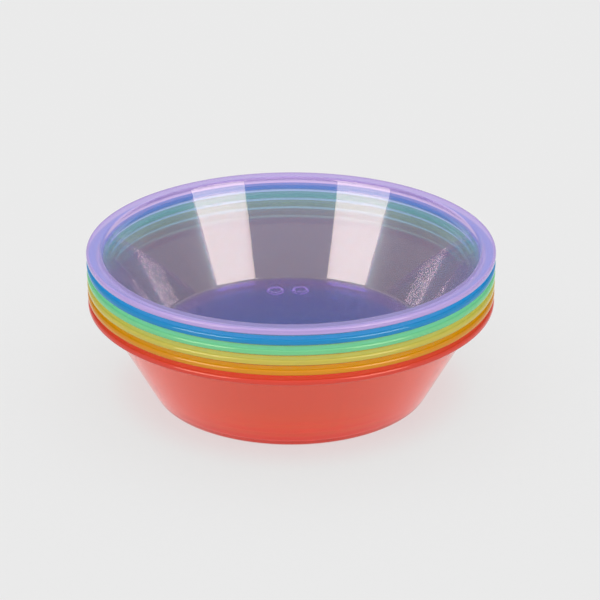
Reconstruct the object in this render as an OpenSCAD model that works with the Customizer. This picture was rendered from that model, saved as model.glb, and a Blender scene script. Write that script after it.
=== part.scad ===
// Nest of six round translucent bowls with narrow flat rims, one colour each.
// Every bowl is the same moulding, and each rests wall to wall in the one below.
// Origin: middle of the lowest bowl's base, +Z up, millimetres.

/* [Bowl] */
// Outer diameter of the rim
rim_d = 160; // [150:1:170]
// Height of one bowl
bowl_h = 39.6; // [38:0.1:42]
// Outer diameter of the flat base
base_d = 110; // [104:1:112]
// Thickness of the sloping wall, square to its face
wall_t = 1.84; // [1.7:0.02:1.9]
// Thickness of the floor
floor_t = 1.75; // [1.2:0.05:1.8]
// Lean of the wall from vertical, in degrees
wall_lean = 28.3; // [27:0.1:29]
// Rounding of the corner between base and wall, outside
base_r = 1.2; // [0.8:0.1:2]
// Rounding of the corner between floor and wall, inside
floor_r = 1; // [0.6:0.1:2]

/* [Rim] */
// Thickness of the flat rim
rim_t = 2.2; // [1.8:0.1:2.4]
// Rounding of the rim's outer edge, above and below
edge_r = 0.8; // [0.5:0.1:0.9]
// Rounding where the rim turns down into the bowl
mouth_r = 1.5; // [1:0.5:4]
// Rounding between the wall's outside and the rim's underside
neck_r = 3; // [2:0.5:4]

/* [Nesting] */
// Clearance between the walls of two nested bowls, square to them
wall_gap = 0.06; // [0.05:0.01:0.1]

/* [Base marks] */
// Depth of the two plain marks moulded into the underside
mark_depth = 0.3; // [0.2:0.05:0.5]
// Size across each mark
mark_w = 7.4; // [5:0.1:9]
// Width of a mark's line
mark_line = 0.8; // [0.5:0.1:1.2]
// Distance of the marks from the middle of the base
mark_y = 41.5; // [36:0.5:44]
// Distance between the two marks, centre to centre
mark_gap = 10.4; // [9.5:0.1:14]

/* [Hidden] */
$fn = 180;

arc_steps = 8; // straight steps in each rounding of the outline
square_share = 0.86; // side of the square mark as a share of mark_w
overcut = 1; // how far the marks' cutter starts below the base
rim_r = rim_d / 2;
wall_run = wall_t / cos(wall_lean); // wall thickness measured level
pitch = (wall_t + wall_gap) / sin(wall_lean); // height from one bowl to the next in the nest

// How far each bowl is turned about +Z in the nest, lowest bowl first
turns = [195, 240, 150, 255, 180, 1.875];

// Radius of the wall's outside and of its inside at height z
function outer_r(z) = base_d / 2 + z * tan(wall_lean);
function inner_r(z) = outer_r(z) - wall_run;

// Points along an arc about centre c, from angle a to angle b
function arc(c, r, a, b) =
    [for (i = [0 : arc_steps]) let (t = a + (b - a) * i / arc_steps) c + r * [cos(t), sin(t)]];

// Centres of the roundings, each touching the wall and one level face
function base_c() = [outer_r(base_r) - base_r / cos(wall_lean), base_r];
function floor_c() = [inner_r(floor_t + floor_r) - floor_r / cos(wall_lean), floor_t + floor_r];
function mouth_c() = [inner_r(bowl_h - mouth_r) + mouth_r / cos(wall_lean), bowl_h - mouth_r];
function neck_c() =
    let (z = bowl_h - rim_t - neck_r) [outer_r(z) + neck_r / cos(wall_lean), z];

// Half of the bowl's cross-section: up the outside, over the rim and down the inside
function outline() = concat(
    [[0, 0]],
    arc(base_c(), base_r, -90, -wall_lean),
    arc(neck_c(), neck_r, 180 - wall_lean, 90),
    arc([rim_r - edge_r, bowl_h - rim_t + edge_r], edge_r, -90, 0),
    arc([rim_r - edge_r, bowl_h - edge_r], edge_r, 0, 90),
    arc(mouth_c(), mouth_r, 90, 180 - wall_lean),
    arc(floor_c(), floor_r, -wall_lean, -90),
    [[0, floor_t]]
);

// Plain ring with a dot
module ring_mark() {
    difference() {
        circle(d = mark_w);
        circle(d = mark_w - 2 * mark_line);
    }
    circle(d = 2 * mark_line);
}

// Plain square frame with a dot
module square_mark() {
    side = mark_w * square_share;
    difference() {
        square(side, center = true);
        square(side - 2 * mark_line, center = true);
    }
    circle(d = 2 * mark_line);
}

// The two marks, as cutters that reach up into the base
module base_marks() {
    translate([0, mark_y, -overcut])
        linear_extrude(mark_depth + overcut) {
            translate([-mark_gap / 2, 0]) ring_mark();
            translate([mark_gap / 2, 0]) square_mark();
        }
}

// One bowl, at the given place in the nest, counted up from 0
module bowl(place) {
    translate([0, 0, place * pitch])
        rotate([0, 0, turns[place]])
            difference() {
                rotate_extrude() polygon(outline());
                base_marks();
            }
}

module red_bowl() { color([0.87, 0.25, 0.20, 0.8]) bowl(0); }
module orange_bowl() { color([0.90, 0.56, 0.08, 0.8]) bowl(1); }
module yellow_bowl() { color([0.84, 0.80, 0.32, 0.8]) bowl(2); }
module green_bowl() { color([0.42, 0.84, 0.58, 0.8]) bowl(3); }
module blue_bowl() { color([0.10, 0.54, 0.82, 0.8]) bowl(4); }
module purple_bowl() { color([0.60, 0.55, 0.82, 0.8]) bowl(5); }

red_bowl();
orange_bowl();
yellow_bowl();
green_bowl();
blue_bowl();
purple_bowl();
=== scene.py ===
import math

import bmesh
import bpy
from mathutils import Matrix, Vector


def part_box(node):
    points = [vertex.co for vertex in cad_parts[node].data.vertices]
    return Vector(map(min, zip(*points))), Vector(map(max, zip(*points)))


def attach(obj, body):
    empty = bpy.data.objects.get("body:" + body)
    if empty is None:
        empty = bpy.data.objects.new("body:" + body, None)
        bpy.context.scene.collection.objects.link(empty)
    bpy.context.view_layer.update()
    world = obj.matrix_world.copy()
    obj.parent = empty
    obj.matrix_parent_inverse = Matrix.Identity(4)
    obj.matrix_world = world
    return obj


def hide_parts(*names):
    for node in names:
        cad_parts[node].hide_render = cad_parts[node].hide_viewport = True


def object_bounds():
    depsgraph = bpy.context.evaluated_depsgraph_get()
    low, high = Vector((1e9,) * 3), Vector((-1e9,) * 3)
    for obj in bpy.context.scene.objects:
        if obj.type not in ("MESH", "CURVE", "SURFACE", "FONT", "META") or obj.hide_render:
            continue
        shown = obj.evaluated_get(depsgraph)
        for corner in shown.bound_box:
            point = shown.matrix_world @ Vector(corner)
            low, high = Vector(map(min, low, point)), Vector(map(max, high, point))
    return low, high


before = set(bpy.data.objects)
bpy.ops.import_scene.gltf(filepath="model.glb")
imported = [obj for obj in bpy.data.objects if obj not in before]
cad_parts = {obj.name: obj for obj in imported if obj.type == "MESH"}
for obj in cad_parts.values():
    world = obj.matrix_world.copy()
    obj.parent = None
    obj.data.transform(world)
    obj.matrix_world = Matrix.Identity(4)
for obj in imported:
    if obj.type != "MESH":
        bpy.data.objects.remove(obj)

# A nest of six see-through bowls. Each CAD bowl is replaced by a finely turned mesh of the same
# dimensions in tinted clear plastic, on a pale floor in a soft studio. Lengths are in metres.

CAD_BOX = [list(corner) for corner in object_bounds()]
MM = 0.001

# --- Sizes taken from the frame ---------------------------------------------------------------
BOWLS = ["red", "orange", "yellow", "green", "blue", "purple"]
BASE_Z = [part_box(f"{name}_bowl")[0].z for name in BOWLS]
BOWL_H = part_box("red_bowl")[1].z - BASE_Z[0]
RIM_R = (CAD_BOX[1][0] - CAD_BOX[0][0]) / 2
NEST_TOP = CAD_BOX[1][2]

# --- Sizes of the moulding --------------------------------------------------------------------
BASE_R = 55 * MM              # outside of the base, before its corner is rounded
LEAN = math.radians(28.3)     # lean of the wall from vertical
WALL_T = 1.84 * MM
FLOOR_T = 1.75 * MM
RIM_T = 2.2 * MM
EDGE_ROUND = 0.8 * MM         # rim's outer edge
MOUTH_ROUND = 1.5 * MM        # where the rim turns down into the bowl
NECK_ROUND = 3 * MM           # between wall and rim, underneath
BASE_ROUND = 1.2 * MM
FLOOR_ROUND = 1.0 * MM

# Plain marks sunk in the underside: a ring and a square frame, each with a dot
MARK_DEPTH = 0.3 * MM
MARK_W = 7.4 * MM
MARK_LINE = 0.8 * MM
MARK_Y = 41.5 * MM
MARK_GAP = 10.4 * MM          # from one mark's middle to the other's
SQUARE_SHARE = 0.86           # side of the square as a share of MARK_W
MARK_OVERCUT = 1 * MM         # how far the marks' cutter starts below the base
TURNS = [195, 240, 150, 255, 180, 1.875]  # degrees about +Z, lowest bowl first

# --- Fineness of the meshes -------------------------------------------------------------------
LATHE_STEPS = 192             # every turn is a whole number of these, so nested facets stay parallel
ARC_STEPS = 10
RING_STEPS = 48
DOT_STEPS = 24
SUPPORT = 0.25 * MM           # distance of the extra ring that keeps a flat face flat beside a rounding
CREASE = math.radians(35)     # an edge that turns more than this stays crisp

# --- Plastic ----------------------------------------------------------------------------------
# Colour of the light that one wall, and one floor, of each plastic lets straight through. The floors'
# deeper colour is partly the plastic's tint and partly painted shade, for the dark under the nest seen
# through them
TINTS = {
    "red": ((1.00, 0.48, 0.46), (1.00, 0.45, 0.45)),
    "orange": ((1.00, 0.69, 0.49), (0.95, 0.70, 0.45)),
    "yellow": ((0.97, 0.89, 0.77), (0.90, 0.86, 0.70)),
    "green": ((0.82, 0.96, 0.84), (0.70, 0.90, 0.80)),
    "blue": ((0.49, 0.85, 0.93), (0.19, 0.76, 0.89)),
    "purple": ((0.89, 0.71, 0.87), (0.61, 0.41, 0.94)),
}
# Haze in each plastic: its colour and its share of the light in a wall, then both in the rim
HAZE = {
    "red": ((0.90, 0.06, 0.02), 0.25, (0.62, 0.05, 0.03), 0.88),
    "orange": ((0.92, 0.38, 0.00), 0.08, (0.60, 0.25, 0.00), 0.90),
    "yellow": ((0.80, 0.72, 0.06), 0.05, (0.52, 0.47, 0.07), 0.82),
    "green": ((0.16, 0.82, 0.33), 0.04, (0.16, 0.58, 0.28), 0.82),
    "blue": ((0.00, 0.38, 0.82), 0.07, (0.00, 0.23, 0.57), 0.90),
    "purple": ((0.42, 0.32, 0.86), 0.06, (0.33, 0.30, 0.77), 0.40),
}
FACE_PAINTED_SHADE = 0.74             # brightness of the haze at the rim's outer face, beside that of its top: painted shade, against the lamps' stronger light on that face
FACE_HAZE = {"purple": ((0.34, 0.27, 0.60), 0.75)}  # where that face has its own colour and share
MARK_HAZE = 0.55              # haze that the marks' frosted rings add
RIM_HAZY = (75.3 * MM, 77 * MM)        # radii over which the haze thickens towards the rim
TOP_RIM_HAZY = (73.8 * MM, 75.2 * MM)  # the same for the top bowl, whose lip is hazy too
OUTER_FACE = (78.6 * MM, 79.4 * MM)    # radii over which the rim's top becomes its outer face
FLOOR_EDGE = (50 * MM, 50.6 * MM)      # radii over which the floor's tint and painted shade become the wall's tint
TOP_FLOOR_EDGE = (52.9 * MM, 53.3 * MM)
HAZE_ROUGHNESS = 0.8

IOR = 1.3                     # below a solid plastic's, because light meets twelve faces here
ROUGHNESS = (0.08, 0.12)      # of the body, from place to place
TOP_ROUGHNESS = (0.04, 0.06)  # the same for the top bowl, through which the others are seen
COAT = 0.6                    # strength of the sharp gloss on the outside of a face, and on the rim
RIM_COAT = 0.85
COAT_ROUGHNESS = 0.02
FACE_PASS = 0.97              # share of light that one face of plastic lets through to what it shades
SHADOW_TINT = 0.25            # power of its tint that the face gives to that light

# Noise patterns: how many of their cells there are in a metre
CLOUDING = 90.0
WAVINESS = 60.0
SPECKLE = 1500.0
FLOOR_GRAIN = 400.0
WAVE_STRENGTH = 0.003
WAVE_HEIGHT = 0.2 * MM

# --- Studio -----------------------------------------------------------------------------------
FLOOR_HALF = 20.0
FLOOR_GAP = 0.1 * MM          # keeps the floor's face and the base's face apart
FLOOR_GREYS = (0.195, 0.205)  # darkest and palest of the floor's grain
FLOOR_ROUGHNESS = 0.9
FLOOR_GLOW = 0.66             # the floor is a lit panel, so shadows on it stay pale
PAINTED_SHADOW_EDGE = (BASE_R - 4 * MM, BASE_R + 0.5 * MM)  # no glow under the base: a painted shadow where the nest stands
PAINTED_PINK_LIGHT = (1.0, 0.87, 0.88)     # painted light: colour of the floor's glow beside the nest, as if passed through the lowest bowl's plastic
PAINTED_PINK_LIGHT_EDGE = (BASE_R, BASE_R + 22 * MM)

CAMERA_DISTANCE = 0.8
CAMERA_ELEVATION = math.radians(22.64)
CAMERA_LENS_MM = 122.56
CAMERA_SENSOR_MM = 36
CAMERA_CLIP = (0.01, 50)
CAMERA_AIM = Vector((3.44, -8.45, 39.35)) * MM

LIGHT_DISTANCE = 12.0
STRIP_AZIMUTH = math.radians(50.5)
STRIP_ELEVATION = math.radians(28)
STRIP_SPREAD = (math.radians(31), math.radians(40))
STRIP_RADIANCE = 6.0
STRIP_COLOUR = (1.0, 0.86, 0.66)

HORIZON_RADIANCE = 0.50
ZENITH_RADIANCE = 1.00
DOME_STARTS = math.radians(20)  # elevation at which the dome begins to brighten
DOME_FULL = math.radians(55)

SEE_THROUGH_BOUNCES = 48      # enough to see through twelve faces of plastic and back
GLOSSY_BOUNCES = 12
DIFFUSE_BOUNCES = 4
SHADOW_FACES = 64


# --- Bowl meshes ------------------------------------------------------------------------------
def outer_r(z):
    return BASE_R + z * math.tan(LEAN)


def inner_r(z):
    return outer_r(z) - WALL_T / math.cos(LEAN)


def arc(centre, radius, start, end):
    """Points of an arc from angle start to angle end, with an extra ring just before and after it."""
    points = []
    for i in range(ARC_STEPS + 1):
        t = start + (end - start) * i / ARC_STEPS
        points.append((centre[0] + radius * math.cos(t), centre[1] + radius * math.sin(t)))
    turn = math.copysign(SUPPORT, end - start)
    before = (points[0][0] + turn * math.sin(start), points[0][1] - turn * math.cos(start))
    after = (points[-1][0] - turn * math.sin(end), points[-1][1] + turn * math.cos(end))
    return [before] + points + [after]


def outline():
    """Half of a bowl's section as (radius, height): up the outside, over the rim, down the inside."""
    up = math.pi / 2
    under = BOWL_H - RIM_T
    neck_z = under - NECK_ROUND
    mouth_z = BOWL_H - MOUTH_ROUND
    floor_z = FLOOR_T + FLOOR_ROUND
    base = (outer_r(BASE_ROUND) - BASE_ROUND / math.cos(LEAN), BASE_ROUND)
    neck = (outer_r(neck_z) + NECK_ROUND / math.cos(LEAN), neck_z)
    mouth = (inner_r(mouth_z) + MOUTH_ROUND / math.cos(LEAN), mouth_z)
    floor = (inner_r(floor_z) - FLOOR_ROUND / math.cos(LEAN), floor_z)
    edge_r = RIM_R - EDGE_ROUND
    points = arc(base, BASE_ROUND, -up, -LEAN)
    points += arc(neck, NECK_ROUND, math.pi - LEAN, up)
    points += arc((edge_r, under + EDGE_ROUND), EDGE_ROUND, -up, 0)[:-1]
    points += arc((edge_r, BOWL_H - EDGE_ROUND), EDGE_ROUND, 0, up)[1:]
    points += arc(mouth, MOUTH_ROUND, up, math.pi - LEAN)
    points += arc(floor, FLOOR_ROUND, -LEAN, -up)
    return points


def lathe(mesh, points):
    """Turns (radius, height) points about +Z and closes the turned skin with a fan at each end."""
    bm = bmesh.new()
    rings = []
    for r, z in points:
        steps = [2 * math.pi * i / LATHE_STEPS for i in range(LATHE_STEPS)]
        rings.append([bm.verts.new((r * math.cos(t), r * math.sin(t), z)) for t in steps])
    for low, high in zip(rings, rings[1:]):
        for i in range(LATHE_STEPS):
            j = (i + 1) % LATHE_STEPS
            bm.faces.new((low[i], low[j], high[j], high[i]))
    for ring, z in ((rings[0], points[0][1]), (rings[-1], points[-1][1])):
        middle = bm.verts.new((0, 0, z))
        for i in range(LATHE_STEPS):
            bm.faces.new((middle, ring[i], ring[(i + 1) % LATHE_STEPS]))
    bmesh.ops.recalc_face_normals(bm, faces=bm.faces)
    bm.to_mesh(mesh)
    bm.free()


def circle(radius, steps):
    angles = [2 * math.pi * i / steps for i in range(steps)]
    return [(radius * math.cos(t), radius * math.sin(t)) for t in angles]


def frame_wall(bm, corners, hollow, x, low, high):
    """A closed upright wall between an outer outline and the same outline scaled by hollow."""
    rings = []
    for scale, z in ((1, low), (1, high), (hollow, high), (hollow, low)):
        rings.append([bm.verts.new((x + cx * scale, MARK_Y + cy * scale, z)) for cx, cy in corners])
    n = len(corners)
    for a, b in zip(rings, rings[1:] + rings[:1]):
        for i in range(n):
            j = (i + 1) % n
            bm.faces.new((a[i], a[j], b[j], b[i]))


def dot(bm, x, low, high):
    rings = []
    for z in (low, high):
        rings.append([bm.verts.new((x + cx, MARK_Y + cy, z)) for cx, cy in circle(MARK_LINE, DOT_STEPS)])
    for i in range(DOT_STEPS):
        j = (i + 1) % DOT_STEPS
        bm.faces.new((rings[0][i], rings[0][j], rings[1][j], rings[1][i]))
    bm.faces.new(rings[0])
    bm.faces.new(rings[1])


def mark_cutter():
    """The solid that sinks a plain ring and a plain square, each with a dot, into a bowl's underside."""
    bm = bmesh.new()
    low = -MARK_OVERCUT
    half = SQUARE_SHARE / 2 * MARK_W
    square = [(half, half), (-half, half), (-half, -half), (half, -half)]
    ring_hollow = 1 - 2 * MARK_LINE / MARK_W
    frame_wall(bm, circle(MARK_W / 2, RING_STEPS), ring_hollow, -MARK_GAP / 2, low, MARK_DEPTH)
    frame_wall(bm, square, 1 - MARK_LINE / half, MARK_GAP / 2, low, MARK_DEPTH)
    dot(bm, -MARK_GAP / 2, low, MARK_DEPTH)
    dot(bm, MARK_GAP / 2, low, MARK_DEPTH)
    bmesh.ops.recalc_face_normals(bm, faces=bm.faces)
    mesh = bpy.data.meshes.new("mark_cutter")
    bm.to_mesh(mesh)
    bm.free()
    return add_object("mark_cutter", mesh)


def add_object(name, data):
    obj = bpy.data.objects.new(name, data)
    bpy.context.scene.collection.objects.link(obj)
    return obj


def cut(obj, cutter):
    """Takes the cutter's shape out of obj's mesh."""
    modifier = obj.modifiers.new("marks", "BOOLEAN")
    modifier.operation = "DIFFERENCE"
    modifier.solver = "EXACT"
    modifier.object = cutter
    bpy.context.view_layer.update()
    graph = bpy.context.evaluated_depsgraph_get()
    mesh = bpy.data.meshes.new_from_object(obj.evaluated_get(graph))
    obj.modifiers.clear()
    old = obj.data
    obj.data = mesh
    bpy.data.meshes.remove(old)


def smooth_but_for_corners(mesh):
    """Smooth shading, with every edge that turns sharply kept crisp."""
    mesh.shade_smooth()
    mesh.set_sharp_from_angle(angle=CREASE)


def make_bowls():
    cutter = mark_cutter()
    master = bpy.data.meshes.new("bowl")
    lathe(master, outline())
    bowls = []
    for place, name in enumerate(BOWLS):
        obj = add_object(f"{name}_shell", master.copy())
        cut(obj, cutter)
        obj.data.transform(Matrix.Rotation(math.radians(TURNS[place]), 4, "Z"))
        obj.data.transform(Matrix.Translation((0, 0, BASE_Z[place])))
        smooth_but_for_corners(obj.data)
        obj.data.materials.append(tinted_plastic(name))
        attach(obj, f"{name}_bowl")
        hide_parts(f"{name}_bowl")
        bowls.append(obj)
    bpy.data.objects.remove(cutter)
    bpy.data.meshes.remove(master)
    return bowls


# --- Nodes ------------------------------------------------------------------------------------
def new_material(name):
    mat = bpy.data.materials.new(name)
    mat.use_nodes = True
    mat.node_tree.nodes.clear()
    out = mat.node_tree.nodes.new("ShaderNodeOutputMaterial")
    return mat, mat.node_tree.nodes, mat.node_tree.links, out


def feed(links, socket, value):
    """Gives a socket a plain value, or links it to another node's output."""
    if isinstance(value, bpy.types.NodeSocket):
        links.new(value, socket)
    else:
        socket.default_value = value


def maths(nodes, links, operation, *values):
    """A Math node of the given values, each a number or another node's output."""
    node = nodes.new("ShaderNodeMath")
    node.operation = operation
    for socket, value in zip(node.inputs, values):
        feed(links, socket, value)
    return node.outputs[0]


def noise(nodes, links, coords, scale):
    node = nodes.new("ShaderNodeTexNoise")
    node.inputs["Scale"].default_value = scale
    links.new(coords, node.inputs["Vector"])
    return node.outputs["Fac"]


def between(nodes, links, value, low, high):
    """Low to high, each a number or another node's output, as the value goes from 0 to 1."""
    node = nodes.new("ShaderNodeMapRange")
    feed(links, node.inputs["To Min"], low)
    feed(links, node.inputs["To Max"], high)
    links.new(value, node.inputs["Value"])
    return node.outputs["Result"]


def blend(nodes, links, value, low, high):
    """A colour from low to high, each (r, g, b) or another node's output, as the value goes 0 to 1."""
    node = nodes.new("ShaderNodeMixRGB")
    for socket, colour in (("Color1", low), ("Color2", high)):
        plain = not isinstance(colour, bpy.types.NodeSocket)
        feed(links, node.inputs[socket], (*colour, 1) if plain else colour)
    links.new(value, node.inputs["Fac"])
    return node.outputs["Color"]


def by_radius(nodes, links, coords, edge, low=0.0, high=1.0):
    """A value that changes smoothly with the distance from the bowls' axis, between edge's two radii."""
    flat = nodes.new("ShaderNodeVectorMath")
    flat.operation = "MULTIPLY"
    flat.inputs[1].default_value = (1, 1, 0)
    links.new(coords, flat.inputs[0])
    radius = nodes.new("ShaderNodeVectorMath")
    radius.operation = "LENGTH"
    links.new(flat.outputs["Vector"], radius.inputs[0])
    ramp = nodes.new("ShaderNodeMapRange")
    ramp.interpolation_type = "SMOOTHSTEP"
    ramp.inputs["From Min"].default_value = edge[0]
    ramp.inputs["From Max"].default_value = edge[1]
    ramp.inputs["To Min"].default_value = low
    ramp.inputs["To Max"].default_value = high
    links.new(radius.outputs["Value"], ramp.inputs["Value"])
    return ramp.outputs["Result"]


def shader_mix(nodes, links, share, first, second):
    node = nodes.new("ShaderNodeMixShader")
    links.new(share, node.inputs["Fac"])
    links.new(first, node.inputs[1])
    links.new(second, node.inputs[2])
    return node.outputs[0]


# --- Materials --------------------------------------------------------------------------------
def frosted_marks(nodes, links, coords, place):
    """Speckles on a ring round the middle of each mark in this bowl's underside, and 0 elsewhere."""
    turn = Matrix.Rotation(math.radians(TURNS[place]), 4, "Z")
    rings = []
    for x in (-MARK_GAP / 2, MARK_GAP / 2):
        gap = nodes.new("ShaderNodeVectorMath")
        gap.operation = "DISTANCE"
        gap.inputs[1].default_value = turn @ Vector((x, MARK_Y, BASE_Z[place]))
        links.new(coords, gap.inputs[0])
        middle_of_line = (MARK_W - MARK_LINE) / 2
        rings.append(maths(nodes, links, "COMPARE", gap.outputs["Value"], middle_of_line, MARK_LINE / 2))
    both = maths(nodes, links, "MAXIMUM", *rings)
    return maths(nodes, links, "MULTIPLY", both, noise(nodes, links, coords, SPECKLE))


def outer_gloss(nodes, links, at_rim):
    """The coat's strength: only outside the plastic, and stronger on the rim."""
    strength = between(nodes, links, at_rim, COAT, RIM_COAT)
    inside = nodes.new("ShaderNodeNewGeometry").outputs["Backfacing"]
    return between(nodes, links, inside, strength, 0.0)


def clear_body(nodes, links, coords, name, gloss):
    """The tinted plastic that light goes through, very slightly wavy under its gloss."""
    wall_tint, floor_tint_and_shade = TINTS[name]
    rough = TOP_ROUGHNESS if name == BOWLS[-1] else ROUGHNESS
    body = nodes.new("ShaderNodeBsdfPrincipled")
    # The floor's colour is the plastic's tint deepened with painted shade
    off_floor = by_radius(nodes, links, coords, TOP_FLOOR_EDGE if name == BOWLS[-1] else FLOOR_EDGE)
    links.new(blend(nodes, links, off_floor, floor_tint_and_shade, wall_tint), body.inputs["Base Color"])
    body.inputs["IOR"].default_value = IOR
    body.inputs["Transmission Weight"].default_value = 1.0
    clouding = noise(nodes, links, coords, CLOUDING)
    links.new(between(nodes, links, clouding, *rough), body.inputs["Roughness"])
    links.new(gloss, body.inputs["Coat Weight"])
    body.inputs["Coat Roughness"].default_value = COAT_ROUGHNESS
    bump = nodes.new("ShaderNodeBump")
    bump.inputs["Strength"].default_value = WAVE_STRENGTH
    bump.inputs["Distance"].default_value = WAVE_HEIGHT
    links.new(noise(nodes, links, coords, WAVINESS), bump.inputs["Height"])
    links.new(bump.outputs["Normal"], body.inputs["Normal"])
    return body.outputs[0]


def haze_body(nodes, links, colour, gloss):
    """The cloudy part of the plastic, which scatters light, under the same gloss."""
    cloud = nodes.new("ShaderNodeBsdfPrincipled")
    links.new(colour, cloud.inputs["Base Color"])
    cloud.inputs["Roughness"].default_value = HAZE_ROUGHNESS
    cloud.inputs["Specular IOR Level"].default_value = 0.0
    links.new(gloss, cloud.inputs["Coat Weight"])
    cloud.inputs["Coat Roughness"].default_value = COAT_ROUGHNESS
    return cloud.outputs[0]


def tinted_plastic(name):
    """Glossy see-through plastic: a sharp gloss over a tinted body, hazy in the rim."""
    mat, nodes, links, out = new_material(f"{name}_plastic_look")
    coords = nodes.new("ShaderNodeTexCoord").outputs["Object"]
    wall_haze, wall_share, rim_haze, rim_share = HAZE[name]
    # Painted shade: the rim's outer face gets a darker copy of the rim's haze colour
    painted_shade = ([FACE_PAINTED_SHADE * part for part in rim_haze], rim_share)
    face_haze, face_share = FACE_HAZE.get(name, painted_shade)

    thickens = TOP_RIM_HAZY if name == BOWLS[-1] else RIM_HAZY
    at_rim = by_radius(nodes, links, coords, thickens)
    at_face = by_radius(nodes, links, coords, OUTER_FACE)
    gloss = outer_gloss(nodes, links, at_rim)
    body = clear_body(nodes, links, coords, name, gloss)
    colour = blend(nodes, links, at_rim, wall_haze, rim_haze)
    cloud = haze_body(nodes, links, blend(nodes, links, at_face, colour, face_haze), gloss)
    thick = between(nodes, links, at_rim, wall_share, rim_share)
    thick = between(nodes, links, at_face, thick, face_share)
    frost = frosted_marks(nodes, links, coords, BOWLS.index(name))
    share = maths(nodes, links, "MULTIPLY_ADD", frost, MARK_HAZE, thick)
    hazy = shader_mix(nodes, links, share, body, cloud)

    # Lamps and the floor's bounced light cross the plastic straight, so its shadow is pale and tinted
    clear = nodes.new("ShaderNodeBsdfTransparent")
    passed = [FACE_PASS * part ** SHADOW_TINT for part in TINTS[name][0]]
    clear.inputs["Color"].default_value = (*passed, 1)
    path = nodes.new("ShaderNodeLightPath").outputs
    either = maths(nodes, links, "MAXIMUM", path["Is Shadow Ray"], path["Is Diffuse Ray"])
    links.new(shader_mix(nodes, links, either, hazy, clear.outputs[0]), out.inputs["Surface"])
    return mat


def pale_floor_material():
    mat, nodes, links, out = new_material("pale_floor")
    coords = nodes.new("ShaderNodeTexCoord").outputs["Object"]
    body = nodes.new("ShaderNodeBsdfPrincipled")
    dark, pale = [(grey, grey, grey) for grey in FLOOR_GREYS]
    grain = blend(nodes, links, noise(nodes, links, coords, FLOOR_GRAIN), dark, pale)
    links.new(grain, body.inputs["Base Color"])
    body.inputs["Roughness"].default_value = FLOOR_ROUGHNESS
    body.inputs["Specular IOR Level"].default_value = 0.0
    # Painted light: the glow is pink beside the nest and white further out
    spread = by_radius(nodes, links, coords, PAINTED_PINK_LIGHT_EDGE)
    links.new(blend(nodes, links, spread, PAINTED_PINK_LIGHT, (1, 1, 1)), body.inputs["Emission Color"])
    # Painted shadow: the glow fades out under the base, so the floor beneath the nest stays dark
    glow = by_radius(nodes, links, coords, PAINTED_SHADOW_EDGE, 0.0, FLOOR_GLOW)
    links.new(glow, body.inputs["Emission Strength"])
    links.new(body.outputs[0], out.inputs["Surface"])
    return mat


# --- Studio -----------------------------------------------------------------------------------
def make_floor():
    bm = bmesh.new()
    corners = [(-1, -1), (1, -1), (1, 1), (-1, 1)]
    bm.faces.new([bm.verts.new((x * FLOOR_HALF, y * FLOOR_HALF, -FLOOR_GAP)) for x, y in corners])
    mesh = bpy.data.meshes.new("floor")
    bm.to_mesh(mesh)
    bm.free()
    floor = add_object("floor", mesh)
    mesh.materials.append(pale_floor_material())


def look_at(obj, target):
    obj.rotation_euler = (target - obj.location).to_track_quat("-Z", "Y").to_euler()


def soft_box(name, place, target, size):
    """A rectangular lamp whose face has the strips' brightness, whatever its size."""
    lamp = bpy.data.lights.new(name, "AREA")
    lamp.shape = "RECTANGLE"
    lamp.size = size[0]
    lamp.size_y = size[1]
    lamp.energy = STRIP_RADIANCE * math.pi * size[0] * size[1]
    lamp.color = STRIP_COLOUR
    obj = add_object(name, lamp)
    obj.location = place
    look_at(obj, target)
    return obj


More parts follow.
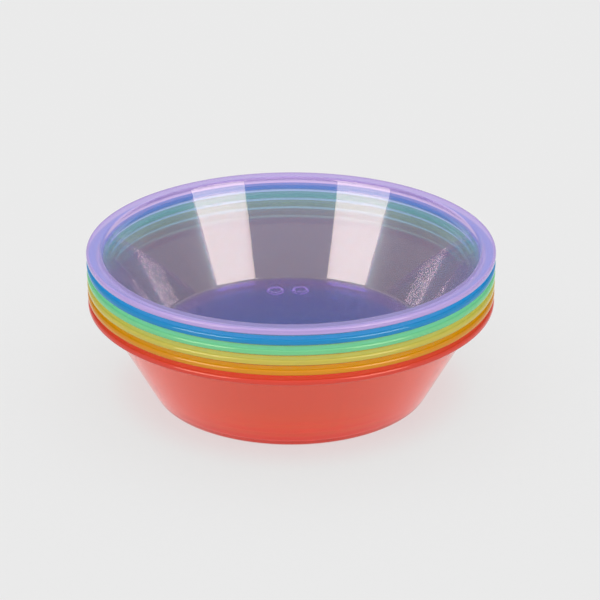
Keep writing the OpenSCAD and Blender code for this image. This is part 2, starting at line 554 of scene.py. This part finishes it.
def make_lights(bowls):
    """Two tall soft boxes in front. They light the bowls only; the dome lights the floor evenly."""
    lit = bpy.data.collections.new("lit_by_strips")
    for bowl in bowls:
        lit.objects.link(bowl)
    middle = Vector((0, 0, NEST_TOP / 2))
    size = [2 * LIGHT_DISTANCE * math.tan(spread / 2) for spread in STRIP_SPREAD]
    for side, name in ((-1, "left_strip"), (1, "right_strip")):
        away = Vector((side * math.sin(STRIP_AZIMUTH) * math.cos(STRIP_ELEVATION),
                       -math.cos(STRIP_AZIMUTH) * math.cos(STRIP_ELEVATION),
                       math.sin(STRIP_ELEVATION)))
        strip = soft_box(name, middle + away * LIGHT_DISTANCE, middle, size)
        strip.light_linking.receiver_collection = lit


def make_world():
    """A white dome, brighter overhead than at the horizon."""
    world = bpy.data.worlds.new("studio")
    bpy.context.scene.world = world
    world.use_nodes = True
    nodes = world.node_tree.nodes
    links = world.node_tree.links
    split = nodes.new("ShaderNodeSeparateXYZ")
    links.new(nodes.new("ShaderNodeTexCoord").outputs["Generated"], split.inputs[0])
    rise = nodes.new("ShaderNodeMapRange")
    rise.interpolation_type = "SMOOTHSTEP"
    rise.inputs["From Min"].default_value = math.sin(DOME_STARTS)
    rise.inputs["From Max"].default_value = math.sin(DOME_FULL)
    rise.inputs["To Min"].default_value = HORIZON_RADIANCE
    rise.inputs["To Max"].default_value = ZENITH_RADIANCE
    links.new(split.outputs["Z"], rise.inputs["Value"])
    back = nodes["Background"]
    back.inputs["Color"].default_value = (1, 1, 1, 1)
    links.new(rise.outputs["Result"], back.inputs["Strength"])


def make_camera():
    data = bpy.data.cameras.new("camera")
    data.lens = CAMERA_LENS_MM
    data.sensor_width = CAMERA_SENSOR_MM
    data.clip_start = CAMERA_CLIP[0]
    data.clip_end = CAMERA_CLIP[1]
    camera = add_object("camera", data)
    back = Vector((0, -math.cos(CAMERA_ELEVATION), math.sin(CAMERA_ELEVATION)))
    camera.location = Vector((0, 0, NEST_TOP)) + back * CAMERA_DISTANCE
    look_at(camera, CAMERA_AIM)
    bpy.context.scene.camera = camera


def set_light_paths():
    """Enough bounces to see through the nest, and plain colour handling."""
    scene = bpy.context.scene
    scene.cycles.max_bounces = SEE_THROUGH_BOUNCES
    scene.cycles.transmission_bounces = SEE_THROUGH_BOUNCES
    scene.cycles.glossy_bounces = GLOSSY_BOUNCES
    scene.cycles.diffuse_bounces = DIFFUSE_BOUNCES
    scene.cycles.transparent_max_bounces = SHADOW_FACES
    scene.view_settings.view_transform = "Standard"
    scene.view_settings.look = "None"


all_bowls = make_bowls()
make_floor()
make_lights(all_bowls)
make_world()
make_camera()
set_light_paths()
